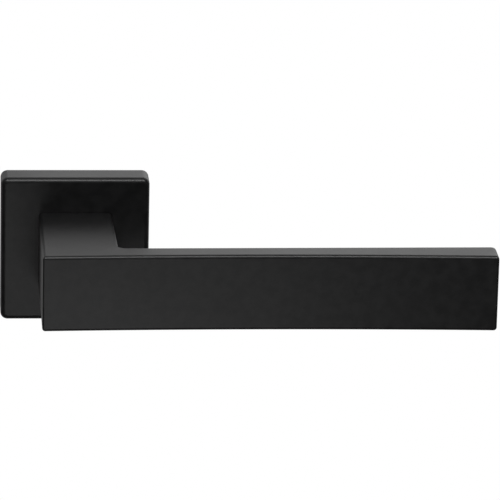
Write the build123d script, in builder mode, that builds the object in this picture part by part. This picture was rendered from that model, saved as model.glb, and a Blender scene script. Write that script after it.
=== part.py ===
from build123d import *
import os
from math import atan2, ceil, cos, degrees, pi, radians, sin, sqrt

os.makedirs("parts", exist_ok=True)

# Door lever handle on a square sprung rose, in millimetres.
# The origin is on the spindle axis in the door face: +X runs to the lever's tip, +Y into the door, +Z up.
# Depths are counted from the door face towards the person who holds the lever.

# Fixings in the door: standard centres and bar
lug_spacing = 38.0
lug_radius = 3.5
lug_reach = 8.0
lug_spigot_radius = 2.9
lug_spigot_length = 4.6
spindle_size = 8.0
spindle_length = 90.0
spindle_chamfer = 0.5

# Rose cover
lug_to_side = 6.0
rose_size = lug_spacing + 2 * lug_to_side
rose_depth = 10.0
rose_wall = 1.2
rose_corner = 2.4
rose_edge = 1.8
cover_side_gap = 0.2
cover_front_gap = 0.1

# Lever
neck_width = 24.4
lever_height = 25.9
lever_length = 150.0
lever_reach = 58.8
grip_thickness = 10.2
tip_thickness = 11.2
front_dish = 1.5
neck_flare = 0.8
inner_radius = 3.0
tip_radius = 1.8
upright_radius = 0.7
edge_radius = 1.2
neck_gap = 0.4
socket_gap = 0.05
spindle_grip = 26.0
socket_end_gap = 1.0

# Journal and its bush
journal_radius = 9.0
running_gap = 0.05
bush_wall = 1.2
bush_flange_wall = 0.5
bush_flange_lip = 1.1
bush_face_gap = 0.2
seat_gap = 0.02
nose_wall = 1.35
nose_gap = 0.2
journal_end_gap = 0.2

# Base under the cover
base_front_wall = 1.4
pocket_wall = 1.2
pocket_round = 1.0

# Spring driver
turn_angle = 45.0
hub_radius = 8.2
arm_thickness = 1.0
finger_width = 6.0
finger_length = 4.2
stop_gap = 0.1
end_play = 0.1
spigot_radius = 7.0

# Return spring
wire = 1.4
coil_room = 1.5
wire_gap = 0.15
leg_gap = 0.1
bend_radius = 1.6
hook_angle = 30.0
hook_length = 3.7
hook_room = 0.2
full_turns = 2

# Plate behind the chamber and the bush in it
plate_recess = 0.1
plate_thickness = 0.8
plate_margin = 0.9
plate_to_clip = 1.0
plate_corner = 2.0
plate_gap = 0.15
driver_bush_wall = 1.15
driver_bush_lip = 0.8
driver_bush_lip_wall = 0.4

# Screws: thread, shank and head radii, lengths under the head or over all for countersunk ones
fixing_radius = 2.0
fixing_shank_radius = 1.78
fixing_head_radius = 3.5
fixing_head_height = 2.4
fixing_length = 50.0
fixing_thread = 34.0
fixing_hole_gap = 0.25
plate_screw_radius = 1.25
plate_screw_head = 2.3
plate_screw_length = 5.5
plate_screw_side = 3.6
plate_screw_end = 2.5
wood_radius = 1.75
wood_shank_radius = 1.3
wood_head = 3.4
wood_length = 25.0
wood_thread = 16.0
wood_tip = 4.0
wood_tip_radius = 0.3
wood_inset = 5.6
countersink_gap = 0.05
countersink_angle = 90.0
shank_gap = 0.15
recess_width = 0.9
recess_length = 3.6
recess_depth = 1.2
screw_chamfer = 0.4

# Grub screw in the neck's underside
grub_radius = 3.0
grub_inset = 0.5
grub_depth = 22.0
grub_gap = 0.05
grub_key = 3.0
grub_key_depth = 3.5

# Leaf clips between base and cover
clip_width = 9.6
clip_thickness = 0.4
clip_bend = 0.5
clip_pocket = 2.7
clip_pocket_gap = 0.4
clip_floor_gap = 0.05
clip_rise = 1.5
clip_peak_depth = 3.4
clip_peak_run = 1.8
clip_end_depth = 0.6
clip_front_gap = 0.25
groove_depth = 0.4
groove_width = 2.0

# Depths that follow from the sizes above
neck_back = rose_depth + neck_gap
bush_front = neck_back - bush_face_gap
nose_front = bush_front - bush_flange_wall
base_depth = rose_depth - rose_wall - cover_front_gap
chamber_depth = base_depth - base_front_wall
journal_back = chamber_depth + journal_end_gap
driver_front = chamber_depth - end_play
arm_back = driver_front - arm_thickness
plate_front = plate_recess + plate_thickness
hub_back = plate_front + driver_bush_lip_wall + end_play
spigot_back = plate_recess + end_play
rear_wire_depth = plate_front + wire_gap + wire / 2
front_wire_depth = arm_back - wire_gap - wire / 2
spindle_front = neck_back + spindle_grip
socket_front = spindle_front + socket_end_gap

# Radii and spans that follow
bush_seat_radius = journal_radius + running_gap + bush_wall
nose_radius = bush_seat_radius + nose_wall
cover_hole_radius = nose_radius + nose_gap
cover_inside = rose_size - 2 * rose_wall
base_size = cover_inside - 2 * cover_side_gap
coil_radius = hub_radius + coil_room + wire / 2
finger_inner = coil_radius + wire / 2 + coil_room
finger_outer = finger_inner + finger_length
pocket_reach = finger_outer + 3 * stop_gap
chamber_radius = coil_radius + bend_radius + 2 * hook_room
plate_width = lug_spacing - 2 * (lug_radius + plate_margin)
plate_height = base_size - 2 * (clip_pocket + plate_to_clip)
driver_bush_bore = spigot_radius + running_gap
driver_bush_radius = driver_bush_bore + driver_bush_wall
fixing_bore = fixing_radius + fixing_hole_gap
fixing_seat = base_depth - fixing_head_height - cover_front_gap
wood_spacing = base_size - 2 * wood_inset
plate_screw_x = plate_width - 2 * plate_screw_side
plate_screw_z = plate_height - 2 * plate_screw_end
clip_floor = base_size / 2 - clip_pocket
tip_x = lever_length - neck_width / 2
rest_angle = 90 + turn_angle / 2
pressed_angle = 90 - turn_angle / 2


def front(depth):
    # Plane that faces the person at the lever, at a depth in front of the door face
    return Plane.XZ.offset(depth)


def along(angle, out, aside):
    # Point on a front plane: out along a ray at the angle, and aside to its left
    ray = radians(angle)
    return (out * cos(ray) - aside * sin(ray), out * sin(ray) + aside * cos(ray))


def finish(piece, name):
    piece.part.label = name
    export_step(piece.part, f"parts/{name}.step")


# Cover: square cup with a soft front edge, a hole for the neck's journal and two grooves for the clips
with BuildPart() as rose_cover:
    with BuildSketch(front(0)):
        RectangleRounded(rose_size, rose_size, rose_corner)
    extrude(amount=rose_depth)
    fillet(rose_cover.faces().sort_by(Axis.Y)[0].edges(), rose_edge)
    with BuildSketch(front(0)):
        RectangleRounded(cover_inside, cover_inside, rose_corner - rose_wall)
    extrude(amount=rose_depth - rose_wall, mode=Mode.SUBTRACT)
    with BuildSketch(front(rose_depth)):
        Circle(cover_hole_radius)
    extrude(amount=-rose_wall, mode=Mode.SUBTRACT)
    with BuildSketch(front(clip_peak_depth - groove_width / 2)):
        Rectangle(clip_width + 2 * clip_pocket_gap, cover_inside + 2 * groove_depth)
    extrude(amount=groove_width, mode=Mode.SUBTRACT)
finish(rose_cover, "rose_cover")

# Lever: plan of neck and grip raised to its height, then journal, spindle socket and grub screw hole
grip_back = lever_reach - grip_thickness
tip_back = lever_reach - tip_thickness
neck_side = neck_width / 2
with BuildPart() as lever:
    with BuildSketch(Plane.XY):
        with BuildLine():
            heel = Line((-neck_side, -neck_back), (-neck_side, -lever_reach))
            dish_middle = (tip_x - lever_length / 2, front_dish - lever_reach)
            face = ThreePointArc(heel @ 1, dish_middle, (tip_x, -lever_reach))
            tip_corner = (tip_x, -tip_back)
            inner_corner = (neck_side + neck_flare, -grip_back)
            Polyline(face @ 1, tip_corner, inner_corner, (neck_side, -neck_back), heel @ 0)
        make_face()
    extrude(amount=lever_height / 2, both=True)
    uprights = lever.edges().filter_by(Axis.Z)
    fillet(uprights.sort_by_distance((*inner_corner, 0))[0], inner_radius)
    uprights = lever.edges().filter_by(Axis.Z)
    fillet(uprights.sort_by_distance((*tip_corner, 0))[0], tip_radius)
    uprights = lever.edges().filter_by(Axis.Z)
    fillet(uprights.group_by(Axis.Y)[0], upright_radius)
    rims = lever.faces().filter_by(Axis.Z).edges().group_by(Axis.Y)
    fillet([edge for rim in rims[:-1] for edge in rim], edge_radius)
    with BuildSketch(front(journal_back)):
        Circle(journal_radius)
    extrude(amount=neck_back - journal_back)
    with BuildSketch(front(journal_back)):
        Rectangle(spindle_size + 2 * socket_gap, spindle_size + 2 * socket_gap)
    extrude(amount=socket_front - journal_back, mode=Mode.SUBTRACT)
    with BuildSketch(Plane.XY.offset(-lever_height / 2)):
        with Locations((0, -grub_depth)):
            Circle(grub_radius + grub_gap)
    extrude(amount=(lever_height - spindle_size) / 2, mode=Mode.SUBTRACT)
finish(lever, "lever")

# Grub screw: bears on the spindle's underside, hexagon key socket facing down
grub_bottom = grub_inset - lever_height / 2
with BuildPart() as grub_screw:
    with BuildSketch(Plane.XY.offset(grub_bottom)):
        with Locations((0, -grub_depth)):
            Circle(grub_radius)
    extrude(amount=-grub_bottom - spindle_size / 2)
    chamfer(grub_screw.faces().sort_by(Axis.Z)[-1].edges(), screw_chamfer)
    with BuildSketch(Plane.XY.offset(grub_bottom)):
        with Locations((0, -grub_depth)):
            RegularPolygon(grub_key / 2, 6, major_radius=False)
    extrude(amount=grub_key_depth, mode=Mode.SUBTRACT)
finish(grub_screw, "grub_screw")

# Spindle: square bar with broken edges
with BuildPart() as spindle:
    with BuildSketch(front(spindle_front)):
        Rectangle(spindle_size, spindle_size)
    extrude(amount=-spindle_length)
    chamfer(spindle.edges(), spindle_chamfer)
finish(spindle, "spindle")

# Neck bush: flanged sleeve in the nose of the base
with BuildPart() as neck_bush:
    with BuildSketch(front(chamber_depth)):
        Circle(bush_seat_radius - seat_gap)
    extrude(amount=bush_front - chamber_depth)
    with BuildSketch(front(nose_front)):
        Circle(bush_seat_radius + bush_flange_lip)
    extrude(amount=bush_flange_wall)
    with BuildSketch(front(chamber_depth)):
        Circle(journal_radius + running_gap)
    extrude(amount=bush_front - chamber_depth, mode=Mode.SUBTRACT)
finish(neck_bush, "neck_bush")


def finger_path(reach, rest_side, pressed_side):
    # Area that the driver's finger passes over, between a stop at rest and a stop at full press
    rest_end = along(rest_angle, sqrt(reach**2 - rest_side**2), rest_side)
    pressed_end = along(pressed_angle, sqrt(reach**2 - pressed_side**2), -pressed_side)
    with BuildLine() as outline:
        stop = Line(along(rest_angle, 0, rest_side), rest_end)
        rim = ThreePointArc(stop @ 1, (0, reach), pressed_end)
        Polyline(rim @ 1, along(pressed_angle, 0, -pressed_side), stop @ 0)
    make_face(outline.edges())


# Base: die-cast block with nose, spring chamber, finger stops, lug bores, clip pockets and cored sides
leg_side = finger_width / 2 + leg_gap + wire / 2
leg_pocket_back = front_wire_depth - wire / 2 - hook_room
stop_side = finger_width / 2 + stop_gap
core_low = lug_radius + 2 * pocket_wall
core_high = wood_spacing / 2 - wood_head - pocket_wall
core_in = plate_width / 2 + plate_gap + pocket_wall
core_out = base_size / 2 - pocket_wall
with BuildPart() as sub_rose:
    with BuildSketch(front(0)):
        RectangleRounded(base_size, base_size, rose_corner - rose_wall)
    extrude(amount=base_depth)
    with BuildSketch(front(base_depth)):
        Circle(nose_radius)
    extrude(amount=nose_front - base_depth)
    with BuildSketch(front(chamber_depth)):
        Circle(bush_seat_radius)
    extrude(amount=nose_front - chamber_depth, mode=Mode.SUBTRACT)
    with BuildSketch(front(0)):
        Circle(chamber_radius)
        finger_path(pocket_reach, stop_side, stop_side)
    extrude(amount=chamber_depth, mode=Mode.SUBTRACT)
    with BuildSketch(front(leg_pocket_back)):
        finger_path(pocket_reach, stop_side, leg_side + wire / 2 + hook_room)
    extrude(amount=chamber_depth - leg_pocket_back, mode=Mode.SUBTRACT)
    with BuildSketch(front(0)):
        hook_slot_reach = chamber_radius + hook_length
        hook_slot_width = wire + 2 * hook_room
        Rectangle(hook_slot_reach, hook_slot_width, hook_angle, (Align.MIN, Align.CENTER))
    extrude(amount=rear_wire_depth + wire / 2 + hook_room, mode=Mode.SUBTRACT)
    with BuildSketch(front(0)):
        RectangleRounded(plate_width + 2 * plate_gap, plate_height + 2 * plate_gap, plate_corner)
    extrude(amount=plate_front, mode=Mode.SUBTRACT)
    with BuildSketch(front(0)):
        with GridLocations(core_in + core_out, core_low + core_high, 2, 2):
            RectangleRounded(core_out - core_in, core_high - core_low, pocket_round)
    extrude(amount=chamber_depth, mode=Mode.SUBTRACT)
    with BuildSketch(front(0)):
        with GridLocations(0, base_size, 1, 2):
            Rectangle(clip_width + 2 * clip_pocket_gap, 2 * clip_pocket)
    extrude(amount=chamber_depth, mode=Mode.SUBTRACT)
    with BuildSketch(front(0)):
        with GridLocations(lug_spacing, 0, 2, 1):
            Circle(lug_spigot_radius + seat_gap)
    extrude(amount=lug_spigot_length, mode=Mode.SUBTRACT)
    with Locations(front(base_depth)):
        with GridLocations(lug_spacing, 0, 2, 1):
            head_bore = fixing_head_radius + shank_gap
            CounterBoreHole(fixing_bore, head_bore, base_depth - fixing_seat)
        with GridLocations(wood_spacing, wood_spacing, 2, 2):
            wood_bore = wood_radius + shank_gap
            CounterSinkHole(wood_bore, wood_head + 2 * countersink_gap, None, countersink_angle)
    with Locations(-front(plate_front)):
        with GridLocations(plate_screw_x, plate_screw_z, 2, 2):
            screw_bore = plate_screw_radius + countersink_gap
            sink_left = plate_screw_head - plate_thickness + 3 * countersink_gap
            CounterSinkHole(screw_bore, sink_left, plate_screw_length, countersink_angle)
finish(sub_rose, "sub_rose")

# Spring driver: hub with a square hole and a rear spigot, and a cranked arm that ends in a finger
with BuildPart() as spring_driver:
    with BuildSketch(front(hub_back)):
        Circle(hub_radius)
    extrude(amount=driver_front - hub_back)
    with BuildSketch(front(spigot_back)):
        Circle(spigot_radius)
    extrude(amount=hub_back - spigot_back)
    with BuildSketch(front(arm_back)):
        Rectangle(finger_outer, finger_width, rest_angle, (Align.MIN, Align.CENTER))
        Circle(finger_outer, mode=Mode.INTERSECT)
    extrude(amount=arm_thickness)
    with BuildSketch(front(hub_back)):
        Rectangle(finger_outer, finger_width, rest_angle, (Align.MIN, Align.CENTER))
        Circle(finger_outer, mode=Mode.INTERSECT)
        Circle(finger_inner, mode=Mode.SUBTRACT)
    extrude(amount=arm_back - hub_back)
    with BuildSketch(front(spigot_back)):
        Rectangle(spindle_size + 2 * socket_gap, spindle_size + 2 * socket_gap)
    extrude(amount=driver_front - spigot_back, mode=Mode.SUBTRACT)
finish(spring_driver, "spring_driver")

# Return spring: one wire from a leg beside the finger, round the hub, to a leg in the slot of the base
bend_reach = coil_radius + bend_radius
lead_aside = bend_radius - leg_side
lead_out = sqrt(bend_reach**2 - lead_aside**2)
hook_out = sqrt(bend_reach**2 - bend_radius**2)
coil_start = rest_angle + degrees(atan2(lead_aside, lead_out))
coil_end = hook_angle - degrees(atan2(bend_radius, hook_out)) + 360 * full_turns
coil_turn = coil_end - coil_start
coil_fall = rear_wire_depth - front_wire_depth


def wire_point(flat, depth):
    return Vector(flat[0], -depth, flat[1])


def coil_point(share):
    # The coil leaves and meets its legs level, so its fall is eased at both ends
    depth = front_wire_depth + coil_fall * (share - sin(2 * pi * share) / (2 * pi))
    return wire_point(along(coil_start + coil_turn * share, coil_radius, 0), depth)


def coil_way(share):
    fall = coil_fall / radians(coil_turn) * (1 - cos(2 * pi * share))
    return wire_point(along(coil_start + coil_turn * share, 0, coil_radius), fall).normalized()


def biarc(start, start_way, end, end_way):
    # Two arcs that leave one point and reach the other in given directions
    chord = end - start
    ways = start_way + end_way
    turn = 1 - start_way.dot(end_way)
    run = chord.dot(ways)
    reach = (sqrt(run**2 + 2 * turn * chord.dot(chord)) - run) / (2 * turn)
    joint = (start + end + (start_way - end_way) * reach) * 0.5
    first = TangentArc(start, joint, tangent=start_way)
    TangentArc(joint, end, tangent=first % 1)


quarters = ceil(coil_turn / 90)
with BuildPart() as return_spring:
    with BuildLine() as wire_line:
        leg_tip = wire_point(along(rest_angle, finger_outer - wire / 2, -leg_side), front_wire_depth)
        leg_foot = wire_point(along(rest_angle, lead_out, -leg_side), front_wire_depth)
        lead = Line(leg_tip, leg_foot)
        TangentArc(leg_foot, coil_point(0), tangent=lead % 1)
        for quarter in range(quarters):
            here = quarter / quarters
            there = (quarter + 1) / quarters
            biarc(coil_point(here), coil_way(here), coil_point(there), coil_way(there))
        hook_foot = wire_point(along(hook_angle, hook_out, 0), rear_wire_depth)
        hook_tip = wire_point(along(hook_angle, hook_out + hook_length, 0), rear_wire_depth)
        TangentArc(coil_point(1), hook_foot, tangent=coil_way(1))
        Line(hook_foot, hook_tip)
    with BuildSketch(Plane(leg_tip, z_dir=lead % 0)):
        Circle(wire / 2)
    sweep(path=wire_line.wire())
finish(return_spring, "return_spring")

# Least gap of the spring to itself, on points along its wire at least two bends apart
samples = 600
wire_path = wire_line.wire()
points = [wire_path @ (n / samples) for n in range(samples + 1)]
apart = ceil(2 * pi * bend_radius / wire_path.length * samples)
gaps = []
for n, point in enumerate(points):
    gaps += [(point - other).length - wire for other in points[n + apart :]]
print("return_spring least gap to itself", round(min(gaps), 3), "mm")
straight_volume = pi * wire**2 / 4 * wire_path.length
print("return_spring volume over section times length", round(return_spring.part.volume / straight_volume, 4))

# Plate that closes the chamber
with BuildPart() as spring_plate:
    with BuildSketch(front(plate_recess)):
        RectangleRounded(plate_width, plate_height, plate_corner)
        Circle(driver_bush_radius, mode=Mode.SUBTRACT)
    extrude(amount=plate_thickness)
    with Locations(-front(plate_recess)):
        with GridLocations(plate_screw_x, plate_screw_z, 2, 2):
            plate_bore = plate_screw_radius + shank_gap
            CounterSinkHole(plate_bore, plate_screw_head + 2 * countersink_gap, None, countersink_angle)
finish(spring_plate, "spring_plate")

# Driver bush: ring in the plate with a lip inside the chamber
with BuildPart() as driver_bush:
    with BuildSketch(front(spigot_back)):
        Circle(driver_bush_radius - seat_gap)
    extrude(amount=plate_front - spigot_back)
    with BuildSketch(front(plate_front)):
        Circle(driver_bush_radius + driver_bush_lip)
    extrude(amount=driver_bush_lip_wall)
    with BuildSketch(front(spigot_back)):
        Circle(driver_bush_bore)
    extrude(amount=hub_back - spigot_back, mode=Mode.SUBTRACT)
finish(driver_bush, "driver_bush")

# Lugs: shouldered sleeves, each with a spigot in the base and its shoulder on the back of the base
for side, name in ((-1, "lug_left"), (1, "lug_right")):
    lug_place = (side * lug_spacing / 2, 0)
    with BuildPart() as lug:
        with BuildSketch(front(0)):
            with Locations(lug_place):
                Circle(lug_radius)
        extrude(amount=-lug_reach)
        chamfer(lug.edges().group_by(Axis.Y)[-1], screw_chamfer)
        with BuildSketch(front(0)):
            with Locations(lug_place):
                Circle(lug_spigot_radius)
        extrude(amount=lug_spigot_length)
        with BuildSketch(front(lug_spigot_length)):
            with Locations(lug_place):
                Circle(fixing_bore)
        extrude(amount=-(lug_spigot_length + lug_reach), mode=Mode.SUBTRACT)
    finish(lug, name)


def cross_recess():
    Rectangle(recess_length, recess_width)
    Rectangle(recess_width, recess_length)


# Fixing screws: cheese heads sunk in the base, plain shanks in the lugs, threads behind them
with BuildPart() as fixing_screws:
    with BuildSketch(front(fixing_seat)):
        with GridLocations(lug_spacing, 0, 2, 1):
            Circle(fixing_head_radius)
    extrude(amount=fixing_head_height)
    with BuildSketch(front(fixing_seat)):
        with GridLocations(lug_spacing, 0, 2, 1):
            Circle(fixing_shank_radius)
    extrude(amount=fixing_thread - fixing_length)
    with BuildSketch(front(fixing_seat - fixing_length)):
        with GridLocations(lug_spacing, 0, 2, 1):
            Circle(fixing_radius)
    extrude(amount=fixing_thread)
    chamfer(fixing_screws.edges().group_by(Axis.Y)[-1], screw_chamfer)
    with BuildSketch(front(fixing_seat + fixing_head_height)):
        with GridLocations(lug_spacing, 0, 2, 1):
            cross_recess()
    extrude(amount=-recess_depth, mode=Mode.SUBTRACT)
finish(fixing_screws, "fixing_screws")

# Wood screws: countersunk in the corners of the base, with a plain shank, a thread and a drawn-out point
wood_front = base_depth - countersink_gap
wood_cone = wood_head - wood_shank_radius
wood_taper = degrees(atan2(wood_radius - wood_tip_radius, wood_tip))
with BuildPart() as wood_screws:
    with BuildSketch(front(wood_front)):
        with GridLocations(wood_spacing, wood_spacing, 2, 2):
            Circle(wood_head)
    extrude(amount=-wood_cone, taper=countersink_angle / 2)
    with BuildSketch(front(wood_front - wood_cone)):
        with GridLocations(wood_spacing, wood_spacing, 2, 2):
            Circle(wood_shank_radius)
    extrude(amount=wood_cone + wood_thread - wood_length)
    with BuildSketch(front(wood_front - wood_length + wood_tip)):
        with GridLocations(wood_spacing, wood_spacing, 2, 2):
            Circle(wood_radius)
    extrude(amount=wood_thread - wood_tip)
    with BuildSketch(front(wood_front - wood_length + wood_tip)):
        with GridLocations(wood_spacing, wood_spacing, 2, 2):
            Circle(wood_radius)
    extrude(amount=-wood_tip, taper=wood_taper)
    with BuildSketch(front(wood_front)):
        with GridLocations(wood_spacing, wood_spacing, 2, 2):
            cross_recess()
    extrude(amount=-recess_depth, mode=Mode.SUBTRACT)
finish(wood_screws, "wood_screws")

# Plate screws: small countersunk screws from the back of the plate into the base
plate_screw_back = plate_recess + countersink_gap
plate_screw_cone = plate_screw_head - plate_screw_radius
with BuildPart() as plate_screws:
    with BuildSketch(front(plate_screw_back)):
        with GridLocations(plate_screw_x, plate_screw_z, 2, 2):
            Circle(plate_screw_head)
    extrude(amount=plate_screw_cone, taper=countersink_angle / 2)
    with BuildSketch(front(plate_screw_back + plate_screw_cone)):
        with GridLocations(plate_screw_x, plate_screw_z, 2, 2):
            Circle(plate_screw_radius)
    extrude(amount=plate_screw_length - plate_screw_cone)
finish(plate_screws, "plate_screws")

# Leaf clips: hairpin of spring strip in the base, its bowed side in the groove of the cover
clip_low = clip_floor + clip_floor_gap + clip_thickness / 2
clip_high = clip_low + clip_rise
clip_peak = cover_inside / 2 + groove_depth - clip_thickness / 2
clip_front = chamber_depth - clip_front_gap - clip_thickness / 2
with BuildPart() as cover_clip_top:
    with BuildSketch(Plane.YZ):
        with BuildLine():
            FilletPolyline(
                (-clip_end_depth, clip_low),
                (-clip_front, clip_low),
                (-clip_front, clip_high),
                (-clip_peak_depth - clip_peak_run, clip_high),
                (-clip_peak_depth, clip_peak),
                (clip_peak_run - clip_peak_depth, clip_high),
                (-clip_end_depth, clip_high),
                radius=clip_bend,
            )
            offset(amount=clip_thickness / 2)
        make_face()
    extrude(amount=clip_width / 2, both=True)
finish(cover_clip_top, "cover_clip_top")

with BuildPart() as cover_clip_bottom:
    mirror(cover_clip_top.part, about=Plane.XY)
finish(cover_clip_bottom, "cover_clip_bottom")
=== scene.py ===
import bmesh
import bpy
from math import acos, atan2, ceil, cos, pi, radians, sin, sqrt
from mathutils import Matrix, Vector
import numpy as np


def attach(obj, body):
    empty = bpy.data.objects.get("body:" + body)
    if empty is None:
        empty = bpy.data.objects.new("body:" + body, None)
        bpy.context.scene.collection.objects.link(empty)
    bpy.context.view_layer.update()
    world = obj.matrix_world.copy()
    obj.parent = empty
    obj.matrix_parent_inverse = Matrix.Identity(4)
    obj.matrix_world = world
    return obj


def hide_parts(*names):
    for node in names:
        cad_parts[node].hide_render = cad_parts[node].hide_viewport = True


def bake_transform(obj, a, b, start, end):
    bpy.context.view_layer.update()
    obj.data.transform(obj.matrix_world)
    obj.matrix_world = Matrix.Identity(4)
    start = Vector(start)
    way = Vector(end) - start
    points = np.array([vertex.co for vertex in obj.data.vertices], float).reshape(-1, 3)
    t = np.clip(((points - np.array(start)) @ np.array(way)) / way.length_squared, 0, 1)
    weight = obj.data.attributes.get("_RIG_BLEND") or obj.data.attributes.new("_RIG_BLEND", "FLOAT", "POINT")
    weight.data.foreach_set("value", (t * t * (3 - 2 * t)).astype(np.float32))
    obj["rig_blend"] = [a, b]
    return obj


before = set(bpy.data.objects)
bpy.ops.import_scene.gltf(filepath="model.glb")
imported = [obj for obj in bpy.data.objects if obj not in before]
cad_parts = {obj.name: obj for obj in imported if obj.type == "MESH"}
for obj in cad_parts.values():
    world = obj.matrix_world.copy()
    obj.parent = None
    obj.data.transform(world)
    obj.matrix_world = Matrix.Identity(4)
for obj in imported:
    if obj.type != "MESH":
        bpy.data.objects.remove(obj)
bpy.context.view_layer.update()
scene = bpy.context.scene
scene.view_settings.view_transform = "Standard"
print("frame loaded:", len(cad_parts), "nodes")

mm = 0.001

# camera as the edges of the handle give it
cameraPlace = {
    "target": (58.09, -25.0, 4.56),  # mm, in the middle of the picture
    "azimuth": -4.42,  # degrees, as the next two
    "elevation": 17.55,
    "roll": 1.296,
    "distance": 1500.0,  # mm
    "lens": 322.6,
    "sensor": 36.0,
    "clip": (0.05, 20.0),  # m
}


def makeCamera(place):
    azimuth, elevation, roll = (radians(place[k]) for k in ("azimuth", "elevation", "roll"))
    back = Vector((sin(azimuth) * cos(elevation), -cos(azimuth) * cos(elevation), sin(elevation)))
    right = Vector((cos(azimuth), sin(azimuth), 0.0))
    up = back.cross(right)
    turned = right * cos(roll) + up * sin(roll)
    upright = up * cos(roll) - right * sin(roll)
    data = bpy.data.cameras.new("camera")
    data.lens = place["lens"]
    data.sensor_width = place["sensor"]
    data.clip_start, data.clip_end = place["clip"]
    camera = bpy.data.objects.new("camera", data)
    axes = Matrix((turned, upright, back)).transposed().to_4x4()
    stand = (Vector(place["target"]) + back * place["distance"]) * mm
    camera.matrix_world = Matrix.Translation(stand) @ axes
    scene.collection.objects.link(camera)
    scene.camera = camera


makeCamera(cameraPlace)
print("camera placed")


def addNode(tree, kind, inputs=None, **settings):
    made = tree.nodes.new(kind)
    for name, value in settings.items():
        setattr(made, name, value)
    for name, value in (inputs or {}).items():
        if isinstance(value, bpy.types.NodeSocket):
            tree.links.new(value, made.inputs[name])
        else:
            made.inputs[name].default_value = value
    return made


def calc(tree, operation, a, b=0.0, clamped=False):
    settings = {"operation": operation, "use_clamp": clamped}
    return addNode(tree, "ShaderNodeMath", {0: a, 1: b}, **settings).outputs[0]


def between(tree, value, low, high, fromLow=0.3, fromHigh=0.7, **settings):
    inputs = {"Value": value, "From Min": fromLow, "From Max": fromHigh, "To Min": low, "To Max": high}
    return addNode(tree, "ShaderNodeMapRange", inputs, **settings).outputs["Result"]


def newFinish(name):
    material = bpy.data.materials.new(name)
    material.use_nodes = True
    tree = material.node_tree
    return material, tree, tree.nodes["Principled BSDF"]


def noiseOf(tree, size, detail=2.0, stretch=(1, 1, 1), rough=0.5):
    # size of a spot in mm, stretch is its length along each axis
    place = addNode(tree, "ShaderNodeTexCoord").outputs["Object"]
    scale = tuple(1 / (size * mm * s) for s in stretch)
    spread = addNode(tree, "ShaderNodeMapping", {"Vector": place, "Scale": scale})
    inputs = {"Vector": spread.outputs["Vector"], "Scale": 1.0, "Detail": detail, "Roughness": rough}
    return addNode(tree, "ShaderNodeTexNoise", inputs).outputs["Fac"]


def tint(tree, value, low, high, fromLow=0.3, fromHigh=0.7):
    ramp = addNode(tree, "ShaderNodeValToRGB", {"Fac": value})
    ramp.color_ramp.elements[0].position = fromLow
    ramp.color_ramp.elements[1].position = fromHigh
    ramp.color_ramp.elements[0].color = (*low, 1)
    ramp.color_ramp.elements[1].color = (*high, 1)
    return ramp.outputs["Color"]


def roughen(tree, shader, height, depth):
    bump = addNode(tree, "ShaderNodeBump", {"Height": height, "Distance": depth * mm, "Strength": 1.0})
    tree.links.new(bump.outputs["Normal"], shader.inputs["Normal"])


noiseCore = (0.38, 0.62)  # most of a noise lies between these

coatLook = {
    "low": (0.0046, 0.0046, 0.0048),
    "high": (0.0084, 0.0084, 0.0086),
    "grain": {"size": 0.22, "detail": 3.0},  # mm
    "mottle": {"size": 3.6, "detail": 5.0, "rough": 0.62},  # faint blotches of darker and paler coat
    "cloud": {"size": 22.0},
    "rough": (0.39, 0.45),
    "glossShift": 0.012,  # how far blotches and clouds move the roughness
    "rub": 0.05,  # how much smoother the edges are, from hands
    "grainDepth": 0.004,  # mm
    "ior": 1.45,
}


def matteCoat(look):
    # fine powder grain, blotches and a slow cloudy change of gloss, edges a touch smoother
    material, tree, shader = newFinish("matteCoat")
    grain, mottle, cloud = (noiseOf(tree, **look[k]) for k in ("grain", "mottle", "cloud"))
    edge = addNode(tree, "ShaderNodeAttribute", attribute_name="rim").outputs["Fac"]
    gloss = between(tree, grain, *look["rough"])
    for slow in (cloud, mottle):
        gloss = calc(tree, "ADD", gloss, between(tree, slow, -look["glossShift"], look["glossShift"]))
    gloss = calc(tree, "SUBTRACT", gloss, calc(tree, "MULTIPLY", edge, look["rub"]))
    tree.links.new(gloss, shader.inputs["Roughness"])
    colour = tint(tree, mottle, look["low"], look["high"], *noiseCore)
    tree.links.new(colour, shader.inputs["Base Color"])
    roughen(tree, shader, grain, look["grainDepth"])
    shader.inputs["IOR"].default_value = look["ior"]
    return material


# grain and cloud are spots in mm, depth is how deep the grain goes in mm
metalLooks = {
    "castZinc": {
        "low": (0.38, 0.38, 0.39), "high": (0.50, 0.50, 0.51), "rough": (0.44, 0.56), "metallic": 0.75,
        "grain": 0.35, "cloud": 6.0, "depth": 0.010, "stretch": (1, 1, 1),
    },
    "drawnSteel": {
        "low": (0.50, 0.50, 0.50), "high": (0.60, 0.60, 0.59), "rough": (0.33, 0.44), "metallic": 0.85,
        "grain": 0.12, "cloud": 5.0, "depth": 0.003, "stretch": (1, 90, 1),
    },
    "platedZinc": {
        "low": (0.60, 0.62, 0.64), "high": (0.69, 0.69, 0.67), "rough": (0.27, 0.35), "metallic": 0.8,
        "grain": 0.25, "cloud": 4.0, "depth": 0.0012, "stretch": (1, 1, 1),
    },
    "springSteel": {
        "low": (0.22, 0.22, 0.23), "high": (0.34, 0.33, 0.32), "rough": (0.28, 0.40), "metallic": 0.85,
        "grain": 0.15, "cloud": 3.0, "depth": 0.002, "stretch": (8, 1, 8),
    },
    "blackedSteel": {
        "low": (0.020, 0.020, 0.022), "high": (0.045, 0.044, 0.043), "rough": (0.34, 0.50), "metallic": 0.6,
        "grain": 0.15, "cloud": 2.0, "depth": 0.003, "stretch": (1, 1, 1),
    },
}
metalDetail = 3.0


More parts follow.
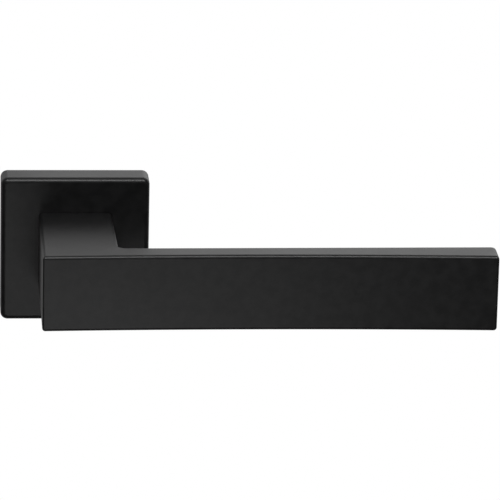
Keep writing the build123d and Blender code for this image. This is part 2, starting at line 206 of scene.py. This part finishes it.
def bareMetal(name, look):
    material, tree, shader = newFinish(name)
    grain = noiseOf(tree, look["grain"], metalDetail, look["stretch"])
    cloud = noiseOf(tree, look["cloud"], metalDetail)
    mottle = calc(tree, "MULTIPLY", calc(tree, "ADD", grain, cloud), 0.5)
    colour = tint(tree, mottle, look["low"], look["high"], *noiseCore)
    tree.links.new(colour, shader.inputs["Base Color"])
    tree.links.new(between(tree, mottle, *look["rough"], *noiseCore), shader.inputs["Roughness"])
    roughen(tree, shader, grain, look["depth"])
    shader.inputs["Metallic"].default_value = look["metallic"]
    return material


acetalLook = {
    "low": (0.70, 0.69, 0.65),
    "high": (0.78, 0.77, 0.73),
    "rough": (0.34, 0.44),
    "grain": 0.4,  # mm, as the next two
    "cloud": 5.0,
    "depth": 0.004,
    "ior": 1.48,
}


def acetalFinish(look):
    material, tree, shader = newFinish("acetal")
    grain = noiseOf(tree, look["grain"])
    cloud = noiseOf(tree, look["cloud"])
    tree.links.new(tint(tree, cloud, look["low"], look["high"]), shader.inputs["Base Color"])
    tree.links.new(between(tree, grain, *look["rough"]), shader.inputs["Roughness"])
    roughen(tree, shader, grain, look["depth"])
    shader.inputs["IOR"].default_value = look["ior"]
    return material


coat = matteCoat(coatLook)
metals = {name: bareMetal(name, look) for name, look in metalLooks.items()}
acetal = acetalFinish(acetalLook)
print("finishes made:", 2 + len(metals))


def roundedOutline(corners, steps, inset=0.0, deepest=0.0):
    # corners run anticlockwise as (x, y, radius)
    # gives the outline moved in, with each point's share of an edge
    points = []
    for n, (x, y, radius) in enumerate(corners):
        here = Vector((x, y))
        arrive = (here - Vector(corners[n - 1][:2])).normalized()
        leave = (Vector(corners[(n + 1) % len(corners)][:2]) - here).normalized()
        first = Vector((-arrive.y, arrive.x))
        last = Vector((-leave.y, leave.x))
        mitre = (first + last) / (1 + first.dot(last))
        if radius is None:  # end cut square: the corner only slides sideways
            points.append((here + Vector((inset / max(first.x, last.x, key=abs), 0)), 0.0))
            continue
        if radius == 0:
            points.append((here + mitre * inset, 0.0))
            continue
        side = 1 if arrive.cross(leave) > 0 else -1
        turn = side * acos(max(-1, min(1, first.dot(last))))
        bend = radius * (1 - inset / deepest) if 0 < side * radius < deepest else radius - side * inset
        middle = here + mitre * (inset + bend * side)
        for step in range(steps + 1):
            share = step / steps
            c, s = cos(turn * share), sin(turn * share)
            way = Vector((first.x * c - first.y * s, first.x * s + first.y * c))
            points.append((middle - way * bend * side, sin(pi * share)))
    return points


def circle(x, y, radius, count):
    angles = [2 * pi * n / count for n in range(count)]
    return [(x + radius * cos(a), y + radius * sin(a)) for a in angles]


def addRing(bm, points, rim=None):
    # points in mm; rim gives each one's share of a rounded edge
    ring = [bm.verts.new(Vector(p) * mm) for p in points]
    if rim:
        layer = bm.verts.layers.float["rim"]
        for vert, share in zip(ring, rim):
            vert[layer] = share
    return ring


def bridge(bm, a, b, skip=()):
    for n in range(len(a)):
        if n not in skip:
            bm.faces.new((a[n - 1], a[n], b[n], b[n - 1]))


weldGap = 0.002  # mm, nearer points are one
planeGap = 0.001  # mm, how far off a plane an edge may lie
sharpFrom = {"coated": 40, "solid": 35, "wound": 50}  # degrees at which an edge is sharp
brokenSteps = 2  # faces across a broken edge


def weld(bm):
    bmesh.ops.remove_doubles(bm, verts=bm.verts, dist=weldGap * mm)


def capFlat(bm, axis, value):
    # fills what is open in one plane, holes kept
    def inPlane(edge):
        off = max(abs(v.co[axis] - value * mm) for v in edge.verts)
        return len(edge.link_faces) < 2 and off < planeGap * mm

    edges = [e for e in bm.edges if inPlane(e)]
    bmesh.ops.triangle_fill(bm, use_beauty=True, use_dissolve=False, edges=edges)


def meshOf(bm, name, sharp):
    weld(bm)
    bmesh.ops.recalc_face_normals(bm, faces=bm.faces)
    mesh = bpy.data.meshes.new(name)
    bm.to_mesh(mesh)
    bm.free()
    mesh.polygons.foreach_set("use_smooth", [True] * len(mesh.polygons))
    mesh.set_sharp_from_angle(angle=radians(sharp))
    return mesh


def placePiece(name, mesh, material, node, edge=0.0):
    # edge is the width of the broken edges in mm, where the mesh has none of its own
    piece = bpy.data.objects.new(name, mesh)
    scene.collection.objects.link(piece)
    mesh.materials.clear()
    mesh.materials.append(material)
    if edge:
        broken = piece.modifiers.new("brokenEdges", "BEVEL")
        broken.width = edge * mm
        broken.segments = brokenSteps
        broken.limit_method = "ANGLE"
        broken.angle_limit = radians(sharpFrom["solid"])
        broken.harden_normals = False
    even = piece.modifiers.new("evenShading", "WEIGHTED_NORMAL")
    even.keep_sharp = True
    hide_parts(node)
    return piece


# mm, as in the forms that follow
leverForm = {
    "neckWidth": 24.4,
    "height": 25.9,
    "tip": 137.8,
    "reach": 58.8,
    "root": 10.4,
    "gripBack": 48.6,
    "tipBack": 47.6,
    "flare": 0.8,
    "dish": 1.5,
    "dishSteps": 28,
    "edge": 1.2,  # along top and bottom
    "upright": 0.7,
    "innerRadius": 3.0,
    "tipRadius": 1.8,
    "edgeSteps": 8,
    "journal": (9.0, 7.5),  # radius, depth of its end
    "socket": (8.1, 37.4),  # width, depth of its bottom
    "grub": (3.05, 22.0),  # radius of its hole, depth of its middle
    "segments": 64,
}


def buildLever(form):
    side, top, root = form["neckWidth"] / 2, form["height"] / 2, -form["root"]
    middle, half = (form["tip"] - side) / 2, (form["tip"] + side) / 2
    corners = [(-side, root, None)]
    for n in range(form["dishSteps"] + 1):
        across = 2 * n / form["dishSteps"] - 1
        corner = form["upright"] if abs(across) == 1 else 0
        corners.append((middle + half * across, form["dish"] * (1 - across**2) - form["reach"], corner))
    corners.append((form["tip"], -form["tipBack"], form["tipRadius"]))
    corners.append((side + form["flare"], -form["gripBack"], form["innerRadius"]))
    corners.append((side, root, None))

    bm = bmesh.new()
    bm.verts.layers.float.new("rim")
    rings = []
    for end in (-1, 1):
        for step in range(form["edgeSteps"] + 1):
            angle = pi / 2 * (step if end > 0 else form["edgeSteps"] - step) / form["edgeSteps"]
            inset = form["edge"] * (1 - cos(angle))
            z = end * (top - form["edge"] * (1 - sin(angle)))
            outline = roundedOutline(corners, form["edgeSteps"], inset, form["edge"])
            tight = [min(1.0, sin(2 * angle) + share) for _, share in outline]
            rings.append(addRing(bm, [(*p, z) for p, _ in outline], tight))
    for a, b in zip(rings, rings[1:]):
        bridge(bm, a, b, (0,))

    # journal, spindle socket and grub screw hole, each closed by the planes they end in
    radius, journalEnd = form["journal"]
    socketHalf, socketEnd = form["socket"][0] / 2, form["socket"][1]
    turned = circle(0, 0, radius, form["segments"])
    bridge(bm, *(addRing(bm, [(x, -d, z) for x, z in turned]) for d in (form["root"], journalEnd)))
    square = [(sx * socketHalf, sz * socketHalf) for sx, sz in ((1, -1), (1, 1), (-1, 1), (-1, -1))]
    mouth, bottom = (addRing(bm, [(x, -d, z) for x, z in square]) for d in (journalEnd, socketEnd))
    bridge(bm, mouth, bottom, (0,))
    for ring in (rings[0], rings[-1], mouth, bottom):
        bm.edges.new((ring[-1], ring[0]))
    grubRadius, grubDepth = form["grub"]
    around = circle(0, -grubDepth, grubRadius, form["segments"] // 2)
    bridge(bm, *(addRing(bm, [(x, y, z) for x, y in around]) for z in (-top, -socketHalf)))
    weld(bm)
    planes = ((2, top), (2, -top), (1, root), (1, -journalEnd), (1, -socketEnd), (2, -socketHalf))
    for axis, value in planes:
        capFlat(bm, axis, value)
    mesh = meshOf(bm, "leverBar", sharpFrom["coated"])
    return placePiece("leverBar", mesh, coat, "lever")


lever = buildLever(leverForm)
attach(lever, "lever")
print("lever built:", len(lever.data.polygons), "faces")


coverForm = {
    "size": 50.0,
    "depth": 10.0,
    "wall": 1.2,
    "corner": 2.4,
    "edge": 1.8,
    "hole": 11.8,
    "groove": (10.4, 2.4, 4.4, 0.4),  # width, from and to depth, how deep
    "steps": 8,
    "segments": 96,
}


def squareCorners(size, radius, marks):
    # anticlockwise in x and z, with extra points on the level sides
    h = size / 2
    return [(-h, -h, radius), (-marks, -h, 0), (marks, -h, 0), (h, -h, radius),
            (h, h, radius), (marks, h, 0), (-marks, h, 0), (-h, h, radius)]


def buildCover(form):
    width, grooveFrom, grooveTo, grooveDeep = form["groove"]
    inner = form["size"] - 2 * form["wall"]
    corners = squareCorners(form["size"], form["corner"], width / 2)
    inside = roundedOutline(squareCorners(inner, form["corner"] - form["wall"], width / 2), form["steps"])
    bm = bmesh.new()
    bm.verts.layers.float.new("rim")
    rings = [addRing(bm, [(p.x, 0, p.y) for p, _ in roundedOutline(corners, form["steps"])])]
    for step in range(form["steps"] + 1):
        angle = pi / 2 * step / form["steps"]
        depth = form["depth"] - form["edge"] * (1 - sin(angle))
        flat = roundedOutline(corners, form["steps"], form["edge"] * (1 - cos(angle)))
        rings.append(addRing(bm, [(p.x, -depth, p.y) for p, _ in flat], [sin(2 * angle)] * len(flat)))
    innerDepth = form["depth"] - form["wall"]
    rounds = circle(0, 0, form["hole"], form["segments"])
    holeRings = [addRing(bm, [(x, -d, z) for x, z in rounds]) for d in (form["depth"], innerDepth)]
    levels = (innerDepth, grooveTo, grooveFrom, 0)
    insideRings = [addRing(bm, [(p.x, -d, p.y) for p, _ in inside]) for d in levels]
    for run in (rings, holeRings, insideRings, [insideRings[-1], rings[0]]):
        for a, b in zip(run, run[1:]):
            bridge(bm, a, b)
    weld(bm)
    capFlat(bm, 1, -form["depth"])
    capFlat(bm, 1, -innerDepth)
    bmesh.ops.recalc_face_normals(bm, faces=bm.faces)

    # grooves that the leaf clips snap into
    for side in (-1, 1):
        spot = Vector((0, -(grooveFrom + grooveTo) / 2, side * inner / 2)) * mm
        floor = min(bm.faces, key=lambda f: (f.calc_center_median() - spot).length)
        mouth = list(floor.verts)
        sunk = addRing(bm, [v.co / mm + Vector((0, 0, side * grooveDeep)) for v in mouth])
        bm.faces.remove(floor)
        bridge(bm, mouth, sunk)
        bm.faces.new(sunk)
    mesh = meshOf(bm, "roseShell", sharpFrom["coated"])
    return placePiece("roseShell", mesh, coat, "rose_cover")


cover = buildCover(coverForm)
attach(cover, "rose")
print("rose cover built:", len(cover.data.polygons), "faces")


underCover = {
    # node: piece, body, finish, slot, width of the broken edges in mm
    "sub_rose": ("baseCasting", "rose", metals["castZinc"], "die_cast_zinc", 0.18),
    "spring_driver": ("driverCasting", "lever", metals["castZinc"], "die_cast_zinc", 0.12),
    "spring_plate": ("chamberPlate", "rose", metals["platedZinc"], "plated_steel", 0.06),
    "spindle": ("spindleBar", "lever", metals["drawnSteel"], "bright_steel", 0.08),
    "lug_left": ("lugLeft", "rose", metals["drawnSteel"], "bright_steel", 0.1),
    "lug_right": ("lugRight", "rose", metals["drawnSteel"], "bright_steel", 0.1),
    "neck_bush": ("neckBush", "rose", acetal, "acetal", 0.08),
    "driver_bush": ("driverBush", "rose", acetal, "acetal", 0.06),
    "cover_clip_top": ("clipTop", "rose", metals["springSteel"], "spring_steel", 0.05),
    "cover_clip_bottom": ("clipBottom", "rose", metals["springSteel"], "spring_steel", 0.05),
}
flatWithin = 0.5  # degrees, faces that differ less become one


def softenedCopy(node, name, finish, edge):
    # the solid's own shape, welded, with its sharp edges broken
    bm = bmesh.new()
    bm.from_mesh(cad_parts[node].data)
    weld(bm)
    bmesh.ops.dissolve_limit(bm, angle_limit=radians(flatWithin), verts=bm.verts, edges=bm.edges)
    return placePiece(name, meshOf(bm, name, sharpFrom["solid"]), finish, node, edge)


for node, (name, body, finish, slot, edge) in underCover.items():
    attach(softenedCopy(node, name, finish, edge), body)
print("softened pieces:", len(underCover))


def newTree(name, inputs):
    tree = bpy.data.node_groups.new(name, "GeometryNodeTree")
    tree.interface.new_socket("Geometry", in_out="INPUT", socket_type="NodeSocketGeometry")
    for label, kind in inputs.items():
        tree.interface.new_socket(label, in_out="INPUT", socket_type="NodeSocket" + kind)
    tree.interface.new_socket("Geometry", in_out="OUTPUT", socket_type="NodeSocketGeometry")
    return tree, tree.nodes.new("NodeGroupInput").outputs, tree.nodes.new("NodeGroupOutput").inputs


def endTree(tree, shape, material, result):
    real = addNode(tree, "GeometryNodeRealizeInstances", {"Geometry": shape})
    finish = addNode(tree, "GeometryNodeSetMaterial", {"Geometry": real.outputs[0], "Material": material})
    tree.links.new(finish.outputs[0], result[0])


def bakeTree(tree, mesh, values):
    # runs a tree on a mesh of places or paths and keeps the result as a plain mesh
    holder = bpy.data.objects.new(tree.name, mesh)
    scene.collection.objects.link(holder)
    maker = holder.modifiers.new(tree.name, "NODES")
    maker.node_group = tree
    for item in tree.interface.items_tree:
        if item.in_out == "INPUT" and item.name in values:
            maker[item.identifier] = values[item.name]
    bpy.context.view_layer.update()
    made = bpy.data.meshes.new_from_object(holder.evaluated_get(bpy.context.evaluated_depsgraph_get()))
    bpy.data.objects.remove(holder)
    bm = bmesh.new()
    bm.from_mesh(made)
    return bm


screwWork = {
    "segments": 24,
    "seed": 7,
    "rows": 4.0,  # rows of points in each pitch
    "lead": 2.0,  # pitches of the helix before the thread starts
    "spare": 3.0,  # pitches more than the thread has, cut off at its ends
    "merge": 0.001,  # mm
}


def screwTree(work):
    # a thread laid row by row along its helix, a head joined to it, and the screw set at every place
    sizes = ("Start", "Length", "Pitch", "Root", "Crest", "Tip Length", "Tip Radius", "Spread")
    inputs = {"Head": "Object", "Finish": "Material", "Aim": "Vector", "Seed": "Int", "Segments": "Int"}
    inputs.update({size: "Float" for size in sizes})
    tree, given, result = newTree("screws", inputs)

    def do(operation, a, b=0.0, clamped=False):
        return calc(tree, operation, a, b, clamped)

    # a unit grid, one way round the screw and the other way down it
    pitches = do("CEIL", do("DIVIDE", given["Length"], given["Pitch"]))
    lastRow = do("MULTIPLY", do("ADD", pitches, work["spare"]), work["rows"])
    counts = {"Vertices X": do("ADD", given["Segments"], 1.0), "Vertices Y": do("ADD", lastRow, 1.0)}
    grid = addNode(tree, "GeometryNodeMeshGrid", {"Size X": 1.0, "Size Y": 1.0, **counts})
    spot = addNode(tree, "GeometryNodeInputPosition").outputs[0]
    where = addNode(tree, "ShaderNodeSeparateXYZ", {0: spot})
    turn = do("ADD", where.outputs["X"], 0.5)
    row = do("ROUND", do("MULTIPLY", do("ADD", where.outputs["Y"], 0.5), lastRow))
    pitch = do("MULTIPLY", row, 1 / work["rows"])

    # the ridge rises and falls once in a pitch, and runs out at both ends
    free = do("MULTIPLY", do("SUBTRACT", do("ADD", pitch, turn), work["lead"]), given["Pitch"])
    down = do("MINIMUM", do("MAXIMUM", free, 0.0), given["Length"])
    toEnd = do("SUBTRACT", given["Length"], down)
    slope = do("SUBTRACT", do("MULTIPLY", do("FRACT", pitch), 2.0), 1.0)
    ridge = do("SUBTRACT", 1.0, do("ABSOLUTE", slope))
    runOut = do("DIVIDE", do("MINIMUM", down, toEnd), given["Pitch"], True)
    deep = do("SUBTRACT", given["Crest"], given["Root"])
    body = do("ADD", given["Root"], do("MULTIPLY", deep, do("MULTIPLY", ridge, runOut)))
    taper = do("DIVIDE", toEnd, given["Tip Length"], True)
    beyondTip = do("MULTIPLY", taper, do("SUBTRACT", body, given["Tip Radius"]))
    shut = do("LESS_THAN", row, do("SUBTRACT", lastRow, 0.5))  # the last row is the middle of the tip
    radius = do("MULTIPLY", do("ADD", given["Tip Radius"], beyondTip), shut)
    angle = do("MULTIPLY", turn, 2 * pi)
    x = do("MULTIPLY", radius, do("COSINE", angle))
    y = do("ADD", given["Start"], down)
    z = do("MULTIPLY", radius, do("SINE", angle))
    place = addNode(tree, "ShaderNodeCombineXYZ", {"X": x, "Y": y, "Z": z}).outputs[0]
    moved = {"Geometry": grid.outputs["Mesh"], "Position": place}
    wound = addNode(tree, "GeometryNodeSetPosition", moved).outputs[0]
    joined = {"Geometry": wound, "Distance": work["merge"] * mm}
    closed = addNode(tree, "GeometryNodeMergeByDistance", joined).outputs[0]

    head = addNode(tree, "GeometryNodeObjectInfo", {"Object": given["Head"]})
    screw = addNode(tree, "GeometryNodeJoinGeometry")
    tree.links.new(closed, screw.inputs[0])
    tree.links.new(head.outputs["Geometry"], screw.inputs[0])
    aimed = addNode(tree, "GeometryNodeTransform", {"Geometry": screw.outputs[0], "Rotation": given["Aim"]})
    chance = addNode(tree, "FunctionNodeRandomValue", {"Seed": given["Seed"]}, data_type="FLOAT")
    swing = do("MULTIPLY", chance.outputs[1], given["Spread"])
    spin = addNode(tree, "ShaderNodeCombineXYZ", {"Y": swing}).outputs[0]
    setOut = {"Points": given["Geometry"], "Instance": aimed.outputs[0], "Rotation": spin}
    places = addNode(tree, "GeometryNodeInstanceOnPoints", setOut)
    endTree(tree, places.outputs[0], given["Finish"], result)
    return tree


def crossShape(length, width):
    a, b = length / 2, width / 2
    return [(a, -b), (a, b), (b, b), (b, a), (-b, a), (-b, b),
            (-a, b), (-a, -b), (-b, -b), (-b, -a), (b, -a), (b, -b)]


def screwHead(profile, recess, segments):
    # profile runs from the rim of the head to the thread as (radius, distance)
    # recess is outline, depth, draft
    outline, depth, draft = recess
    bm = bmesh.new()
    bm.verts.layers.float.new("rim")
    run = [addRing(bm, [(x, y, z) for x, z in circle(0, 0, r, segments)]) for r, y in profile]
    for n in range(segments):
        bm.edges.new((run[0][n - 1], run[0][n]))
    top = profile[0][1]
    levels = ((1, top), (draft, top + depth))
    sunk = [addRing(bm, [(x * s, y, z * s) for x, z in outline]) for s, y in levels]
    for rings in (run, sunk):
        for a, b in zip(rings, rings[1:]):
            bridge(bm, a, b)
    capFlat(bm, 1, top)
    capFlat(bm, 1, top + depth)
    head = bpy.data.objects.new("head", meshOf(bm, "head", sharpFrom["coated"]))
    scene.collection.objects.link(head)
    return head


screwKinds = {
    "fixing_screws": {
        "name": "throughScrews", "finish": "platedZinc", "slot": "plated_steel", "body": "rose",
        "places": [(-19, -6.2, 0), (19, -6.2, 0)],
        "profile": [(3.2, -2.4), (3.42, -2.32), (3.5, -2.1), (3.5, -0.12), (3.38, 0), (1.9, 0),
                    (1.78, 0.12), (1.78, 15.8), (1.56, 16.0)],
        "recess": (crossShape(3.6, 0.9), 1.2, 0.55),
        "thread": {"Start": 16.0, "Length": 34.0, "Pitch": 0.7, "Root": 1.56, "Crest": 2.0,
                   "Tip Length": 0.5, "Tip Radius": 1.3},
    },
    "wood_screws": {
        "name": "cornerScrews", "finish": "platedZinc", "slot": "plated_steel", "body": "rose",
        "places": [(sx * 18, -8.65, sz * 18) for sx in (-1, 1) for sz in (-1, 1)],
        "profile": [(3.34, 0), (3.4, 0.06), (3.3, 0.2), (1.45, 2.0), (1.3, 2.3), (1.3, 8.85), (1.15, 9.0)],
        "recess": (crossShape(3.6, 0.9), 1.2, 0.4),
        "thread": {"Start": 9.0, "Length": 16.0, "Pitch": 1.6, "Root": 1.15, "Crest": 1.75,
                   "Tip Length": 4.0, "Tip Radius": 0.12},
    },
    "plate_screws": {
        "name": "plateScrews", "finish": "platedZinc", "slot": "plated_steel", "body": "rose",
        "places": [(sx * 11, -0.15, sz * 17.4) for sx in (-1, 1) for sz in (-1, 1)], "aim": (pi, 0, 0),
        "profile": [(2.24, 0), (2.3, 0.05), (2.22, 0.13), (1.2, 1.12), (0.98, 1.3)],
        "recess": (crossShape(2.5, 0.62), 0.8, 0.4),
        "thread": {"Start": 1.3, "Length": 4.2, "Pitch": 0.45, "Root": 0.98, "Crest": 1.25,
                   "Tip Length": 0.4, "Tip Radius": 0.8},
    },
    "grub_screw": {
        "name": "grubScrew", "finish": "blackedSteel", "slot": "black_steel", "body": "lever",
        "places": [(0, -22, -12.45)], "aim": (pi / 2, 0, 0), "spread": 0.0,
        "profile": [(2.5, 0)],
        "recess": (circle(0, 0, 1.5 / cos(pi / 6), 6), 3.5, 1.0),  # hexagon
        "thread": {"Start": 0.0, "Length": 8.45, "Pitch": 1.0, "Root": 2.5, "Crest": 3.0,
                   "Tip Length": 0.5, "Tip Radius": 2.0},
    },
}


def buildScrews(node, kind, tree, work):
    finish = metals[kind["finish"]]
    head = screwHead(kind["profile"], kind["recess"], work["segments"])
    spots = bpy.data.meshes.new("places")
    spots.from_pydata([Vector(p) * mm for p in kind["places"]], [], [])
    values = {size: value * mm for size, value in kind["thread"].items()}
    values.update({"Head": head, "Finish": finish, "Seed": work["seed"], "Segments": work["segments"],
                   "Aim": kind.get("aim", (0, 0, 0)), "Spread": kind.get("spread", 2 * pi)})
    bm = bakeTree(tree, spots, values)
    bpy.data.objects.remove(head)
    mesh = meshOf(bm, kind["name"], sharpFrom["wound"])
    return placePiece(kind["name"], mesh, finish, node)


screws = screwTree(screwWork)
for node, kind in screwKinds.items():
    piece = buildScrews(node, kind, screws, screwWork)
    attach(piece, kind["body"])
    print("screws built:", piece.name, len(piece.data.polygons), "faces")


springForm = {
    "wire": 1.4,
    "coil": 10.4,
    "bend": 1.6,
    "depths": (5.35, 1.75),  # front wire, rear wire
    "finger": 112.5,  # degrees
    "legSide": 3.8,
    "legEnd": 16.1,
    "hook": 30.0,  # degrees
    "hookLength": 3.7,
    "turns": 2,
    "step": 5.0,  # degrees of coil between points
    "bendSteps": 10,
    "sides": 14,
}


def along(angle, out, aside):
    ray = radians(angle)
    return Vector((out * cos(ray) - aside * sin(ray), out * sin(ray) + aside * cos(ray)))


def bendBetween(middle, start, end, steps):
    first, last = start - middle, end - middle
    turn = atan2(first.cross(last), first.dot(last))
    return [middle + Matrix.Rotation(turn * n / steps, 2) @ first for n in range(steps + 1)]


def springPath(form):
    reach = form["coil"] + form["bend"]
    front, rear = form["depths"]
    aside = form["bend"] - form["legSide"]
    out = sqrt(reach**2 - aside**2)
    hookOut = sqrt(reach**2 - form["bend"] ** 2)
    startAngle = form["finger"] + atan2(aside, out) * 180 / pi
    endAngle = form["hook"] - atan2(form["bend"], hookOut) * 180 / pi + 360 * form["turns"]
    leg = [along(form["finger"], form["legEnd"], -form["legSide"])]
    leg += bendBetween(along(form["finger"], out, aside), along(form["finger"], out, -form["legSide"]),
                       along(startAngle, form["coil"], 0), form["bendSteps"])
    path = [(p.x, -front, p.y) for p in leg]
    count = ceil((endAngle - startAngle) / form["step"])
    for n in range(1, count):
        share = n / count
        depth = front + (rear - front) * (share - sin(2 * pi * share) / (2 * pi))
        p = along(startAngle + (endAngle - startAngle) * share, form["coil"], 0)
        path.append((p.x, -depth, p.y))
    hook = bendBetween(along(form["hook"], hookOut, -form["bend"]), along(endAngle, form["coil"], 0),
                       along(form["hook"], hookOut, 0), form["bendSteps"])
    hook.append(along(form["hook"], hookOut + form["hookLength"], 0))
    return path + [(p.x, -rear, p.y) for p in hook]


def wireTree():
    tree, given, result = newTree("springWire", {"Wire": "Float", "Sides": "Int", "Finish": "Material"})
    line = addNode(tree, "GeometryNodeMeshToCurve", {"Mesh": given["Geometry"]}).outputs[0]
    thick = {"Resolution": given["Sides"], "Radius": calc(tree, "MULTIPLY", given["Wire"], 0.5)}
    section = addNode(tree, "GeometryNodeCurvePrimitiveCircle", thick, mode="RADIUS").outputs[0]
    swept = {"Curve": line, "Profile Curve": section, "Fill Caps": True}
    wire = addNode(tree, "GeometryNodeCurveToMesh", swept)
    endTree(tree, wire.outputs[0], given["Finish"], result)
    return tree


def buildSpring(form):
    points = [Vector(p) * mm for p in springPath(form)]
    line = bpy.data.meshes.new("wireLine")
    line.from_pydata(points, [(n, n + 1) for n in range(len(points) - 1)], [])
    steel = metals["springSteel"]
    bm = bakeTree(wireTree(), line, {"Wire": form["wire"] * mm, "Sides": form["sides"], "Finish": steel})
    mesh = meshOf(bm, "returnSpring", sharpFrom["wound"])
    return placePiece("returnSpring", mesh, steel, "return_spring")


spring = buildSpring(springForm)
wireHalf = springForm["wire"] / 2
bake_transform(spring, "rose", "lever", start=(0, -(springForm["depths"][1] + wireHalf) * mm, 0),
         end=(0, -(springForm["depths"][0] - wireHalf) * mm, 0))
print("spring wound:", len(spring.data.polygons), "faces")


studio = {
    "dark": 0.02,  # what the coat mirrors to the sides, below and in front
    "white": 0.5,  # what it mirrors behind
    "backdrop": (0.0, 0.5),  # how far round to the back the white starts and is full
    "fill": 0.46,  # even light on everything
    "floor": (0.06, 0.08, -0.25),  # m, middle of the part that keeps the shadow
    "floorHalf": 4,  # m
    "floorColour": (0.84, 0.84, 0.83),
    "floorDull": 0.98,  # share of that colour in its darker spots
    "floorSpot": 3.0,  # mm
    "floorRough": 0.8,
    # m from the middle where it starts and ends to turn white, and how white it starts
    "floorFade": (0.15, 0.32, 0.45),
}
lamps = {
    # size, place, aim in m, and brightness
    "topStrip": ((0.7, 0.16), (0.06, -0.43, 0.65), (0.06, -0.055, 0.0), 11.0),
    "backCard": ((0.3, 0.2), (0.12, 0.20, 0.10), (0.06, -0.03, 0.0), 0.54),
    "backRight": ((0.22, 0.15), (0.17, 0.35, 0.13), (0.08, -0.05, 0.0), 0.32),
    "lowCard": ((0.16, 0.12), (0.01, -0.27, -0.10), (0.02, -0.05, 0.0), 1.5),
}
softly = {"interpolation_type": "SMOOTHSTEP"}


def buildWorld(look):
    world = bpy.data.worlds.new("studio")
    scene.world = world
    world.use_nodes = True
    tree = world.node_tree
    way = addNode(tree, "ShaderNodeTexCoord").outputs["Generated"]
    behind = addNode(tree, "ShaderNodeSeparateXYZ", {0: way}).outputs["Y"]
    path = addNode(tree, "ShaderNodeLightPath").outputs
    white = between(tree, behind, look["dark"], look["white"], *look["backdrop"], **softly)
    glossy = calc(tree, "MAXIMUM", path["Is Glossy Ray"], path["Is Transmission Ray"])
    mirrored = between(tree, glossy, look["fill"], white, 0, 1)
    seen = between(tree, path["Is Camera Ray"], mirrored, 1.0, 0, 1)
    tree.links.new(seen, tree.nodes["Background"].inputs["Strength"])
    tree.nodes["Background"].inputs["Color"].default_value = (1, 1, 1, 1)


def buildFloor(look):
    # pale and shaded near the handle, white further out, and open from below
    material, tree, shader = newFinish("paleFloor")
    near, far, least = look["floorFade"]
    place = addNode(tree, "ShaderNodeTexCoord").outputs["Object"]
    away = addNode(tree, "ShaderNodeVectorMath", {0: place}, operation="LENGTH").outputs["Value"]
    white = between(tree, away, least, 1.0, near, far, **softly)
    seen = calc(tree, "MULTIPLY", white, addNode(tree, "ShaderNodeLightPath").outputs["Is Camera Ray"])
    glow = addNode(tree, "ShaderNodeEmission", {"Color": (1, 1, 1, 1), "Strength": 1.0}).outputs[0]
    below = addNode(tree, "ShaderNodeNewGeometry").outputs["Backfacing"]
    shaded = addNode(tree, "ShaderNodeMixShader", {0: seen, 1: shader.outputs[0], 2: glow}).outputs[0]
    clear = addNode(tree, "ShaderNodeBsdfTransparent").outputs[0]
    both = addNode(tree, "ShaderNodeMixShader", {0: below, 1: shaded, 2: clear})
    tree.links.new(both.outputs[0], tree.nodes["Material Output"].inputs["Surface"])
    dull = [c * look["floorDull"] for c in look["floorColour"]]
    colour = tint(tree, noiseOf(tree, look["floorSpot"]), dull, look["floorColour"])
    tree.links.new(colour, shader.inputs["Base Color"])
    shader.inputs["Roughness"].default_value = look["floorRough"]
    h = look["floorHalf"]
    mesh = bpy.data.meshes.new("floor")
    mesh.from_pydata([(-h, -h, 0), (h, -h, 0), (h, h, 0), (-h, h, 0)], [], [(0, 1, 2, 3)])
    mesh.materials.append(material)
    floor = bpy.data.objects.new("floor", mesh)
    floor.location = look["floor"]
    floor.visible_diffuse = False
    floor.visible_glossy = False
    scene.collection.objects.link(floor)


def addLamp(name, size, place, aim, radiance):
    data = bpy.data.lights.new(name, "AREA")
    data.shape = "RECTANGLE"
    data.size, data.size_y = size
    data.energy = radiance * pi * size[0] * size[1]
    light = bpy.data.objects.new(name, data)
    light.visible_camera = False
    way = Vector(aim) - Vector(place)
    light.matrix_world = Matrix.Translation(place) @ way.to_track_quat("-Z", "Y").to_matrix().to_4x4()
    scene.collection.objects.link(light)


buildWorld(studio)
buildFloor(studio)
for name, values in lamps.items():
    addLamp(name, *values)
print("studio lit")
